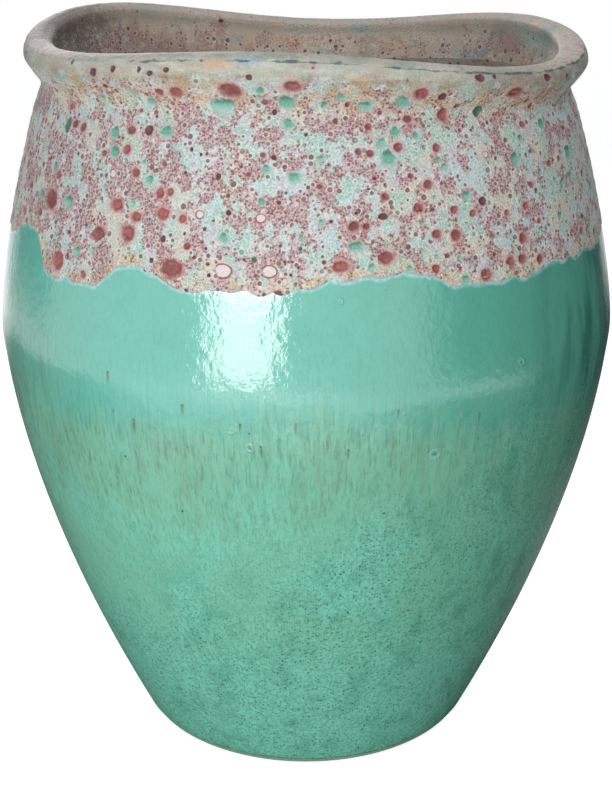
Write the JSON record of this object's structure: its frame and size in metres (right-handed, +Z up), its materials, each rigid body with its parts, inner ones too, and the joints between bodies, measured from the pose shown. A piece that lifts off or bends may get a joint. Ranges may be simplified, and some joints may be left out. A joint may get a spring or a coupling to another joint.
{
  "type": "stoneware storage jar",
  "caption": "large round-bellied stoneware jar with a short neck, a thick rolled wavy rim and a wide open mouth, green glaze below and thick cratered glaze above",
  "frame": {"origin": "on the ground under the middle of the foot", "axes": "+Z up along the jar's axis, -Y towards the front that the picture shows, +X to that view's right"},
  "size_m": [0.6509, 0.651, 0.7667],
  "materials": {
    "clay": "matte",
    "green_glaze": "gloss",
    "turquoise_glaze": "gloss",
    "crater_glaze": "satin"
  },
  "bodies": {
    "root": {"foot_slab": "clay", "lower_wall": "clay", "waist_wall": "clay", "belly_wall": "clay", "shoulder_wall": "clay", "neck_collar": "clay", "rim_roll": "clay", "green_glaze": "green_glaze", "turquoise_run": "turquoise_glaze", "shoulder_crater_glaze": "crater_glaze", "rim_crater_glaze": "crater_glaze"}
  },
  "joints": []
}
